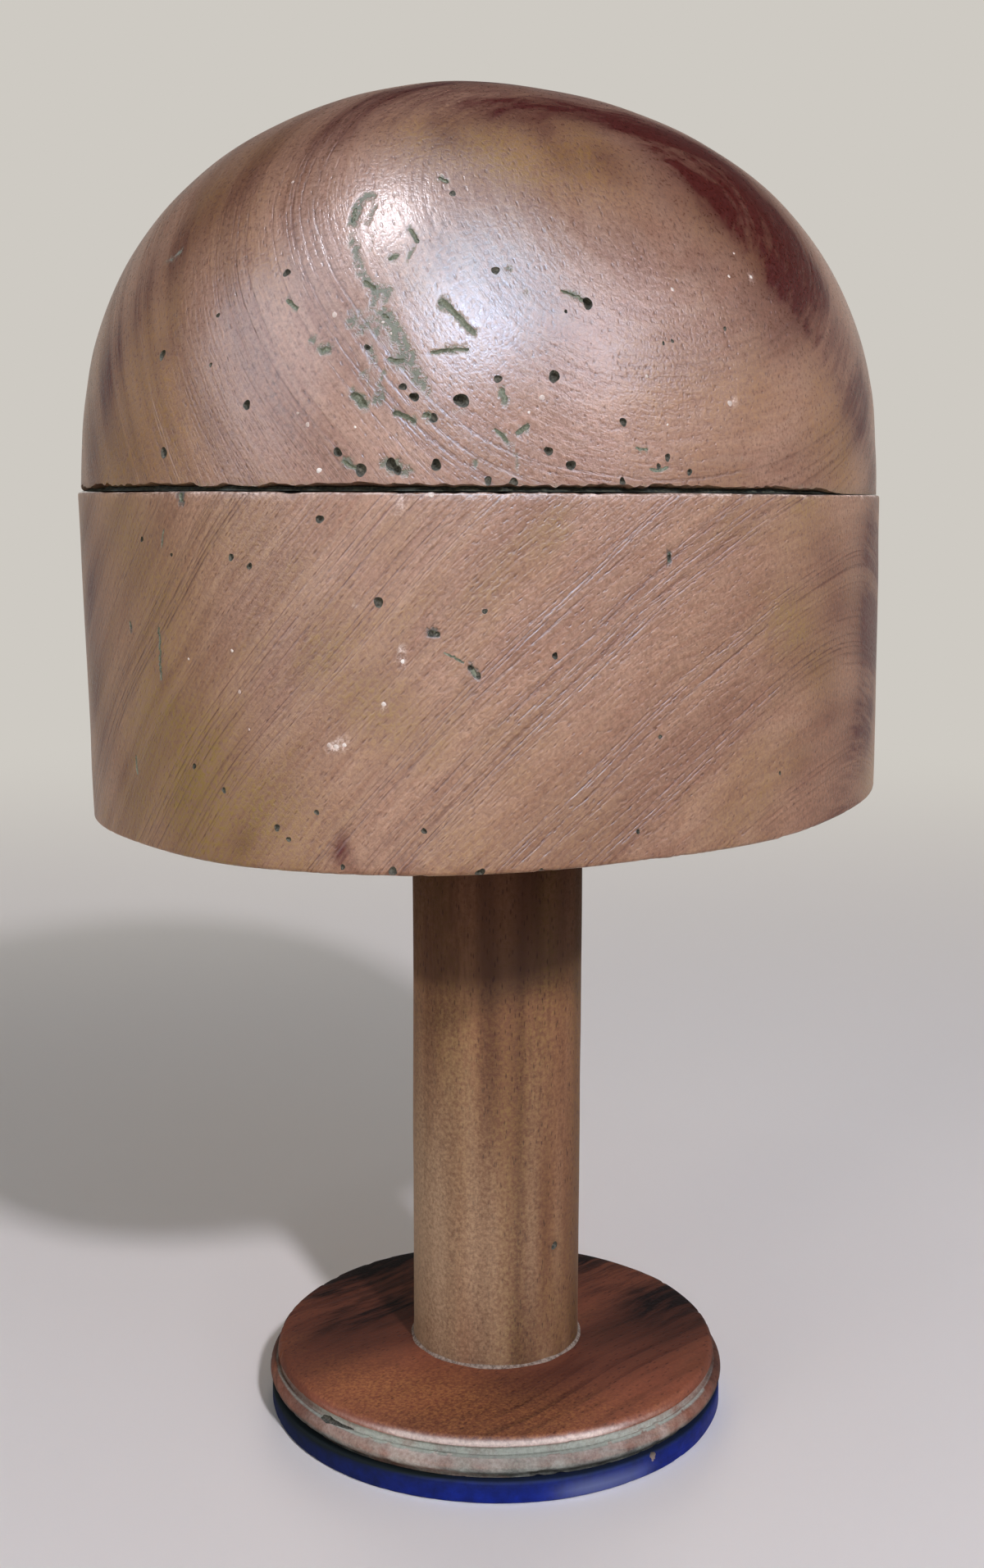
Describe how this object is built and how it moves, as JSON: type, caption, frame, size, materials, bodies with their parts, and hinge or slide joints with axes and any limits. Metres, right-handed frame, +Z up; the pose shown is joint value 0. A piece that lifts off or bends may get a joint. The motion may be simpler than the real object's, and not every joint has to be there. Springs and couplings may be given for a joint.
{
  "type": "hat block",
  "caption": "Domed wooden hat block of stacked boards, which lifts off and turns on a loose peg above a turned stem and round base.",
  "frame": {"origin": "on the stem's axis, at the underside of the foot disc", "axes": "+Z up along the stem, X along the block's long axis with the narrower brow end at +X, Y across the block"},
  "size_m": [0.1975, 0.1576, 0.3211],
  "materials": {
    "crown_wood": "satin varnish over brown hardwood, with woodworm holes",
    "band_wood": "worn satin varnish over brown hardwood",
    "stem_wood": "thin matt varnish over brown hardwood",
    "base_wood": "dark red-brown satin stain, worn pale at the edge",
    "blue_painted_wood": "dark blue gloss paint, chipped",
    "bare_beech": "bare, worn smooth",
    "screw_steel": "dulled"
  },
  "bodies": {
    "stand": {"foot_disc": "blue_painted_wood", "base_disc": "base_wood", "stem": "stem_wood", "stem_wedge": "bare_beech", "foot_screw_1": "screw_steel", "foot_screw_2": "screw_steel", "foot_screw_3": "screw_steel", "foot_screw_4": "screw_steel"},
    "peg": {"swivel_peg": "bare_beech"},
    "block": {"crown_band": "band_wood", "crown_top": "crown_wood", "crown_dowel_1": "bare_beech", "crown_dowel_2": "bare_beech", "crown_dowel_3": "bare_beech", "crown_dowel_4": "bare_beech"}
  },
  "joints": [
    {"name": "block_turn", "type": "hinge", "parent": "stand", "child": "peg", "pos_m": [0, 0, 0.1535], "axis": [0, 0, 1], "continuous": true},
    {"name": "block_lift", "type": "slide", "parent": "peg", "child": "block", "axis": [0, 0, 1], "range_m": [0, 0.07]}
  ]
}
